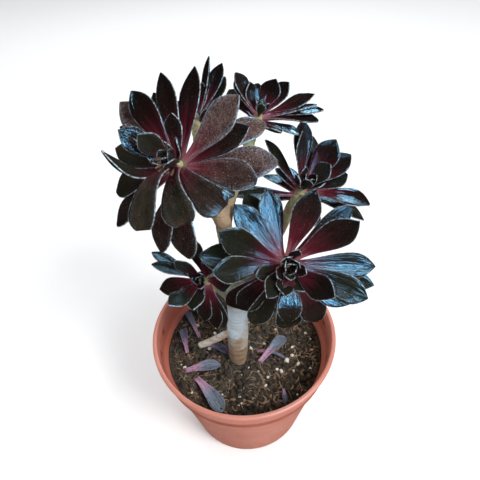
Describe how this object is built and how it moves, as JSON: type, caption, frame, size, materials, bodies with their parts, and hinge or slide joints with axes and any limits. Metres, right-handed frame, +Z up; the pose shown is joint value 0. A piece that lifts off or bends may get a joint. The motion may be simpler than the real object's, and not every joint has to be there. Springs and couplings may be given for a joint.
{
  "type": "potted aeonium",
  "caption": "Dark-leaved tree aeonium with six leaf rosettes on a branched stem, in a terracotta-coloured plastic nursery pot with soil and fallen leaves.",
  "frame": {"origin": "centre of the pot's underside, on the surface it stands on", "axes": "+Z up along the pot's axis, -Y towards the side with the front rosette, +X to the right seen from there"},
  "size_m": [0.1505, 0.1421, 0.2966],
  "materials": {
    "pot_plastic": "moulded terracotta-coloured plastic, satin, dusty inside",
    "potting_soil": "moist peat with fibres, bark chips and perlite",
    "stem_bark": "smooth tan bark with grey bloom and leaf scars, green young shoots",
    "leaf_dark": "glossy brown-purple leaf, wine red to green at the base, pale edge with fine hairs",
    "leaf_fallen": "withered grey-blue leaf with a lilac stalk"
  },
  "bodies": {
    "root": {"pot": "pot_plastic", "soil": "potting_soil", "stem": "stem_bark", "rosette_left_top": "leaf_dark", "rosette_front": "leaf_dark", "rosette_left_low": "leaf_dark", "rosette_right": "leaf_dark", "rosette_back_right": "leaf_dark", "rosette_back_left": "leaf_dark", "fallen_leaf_1": "leaf_fallen", "fallen_leaf_2": "leaf_fallen", "fallen_leaf_3": "leaf_fallen", "fallen_leaf_4": "leaf_fallen", "fallen_leaf_5": "leaf_fallen", "fallen_leaf_6": "leaf_fallen", "fallen_leaf_7": "leaf_fallen", "fallen_leaf_8": "leaf_fallen"}
  },
  "joints": []
}
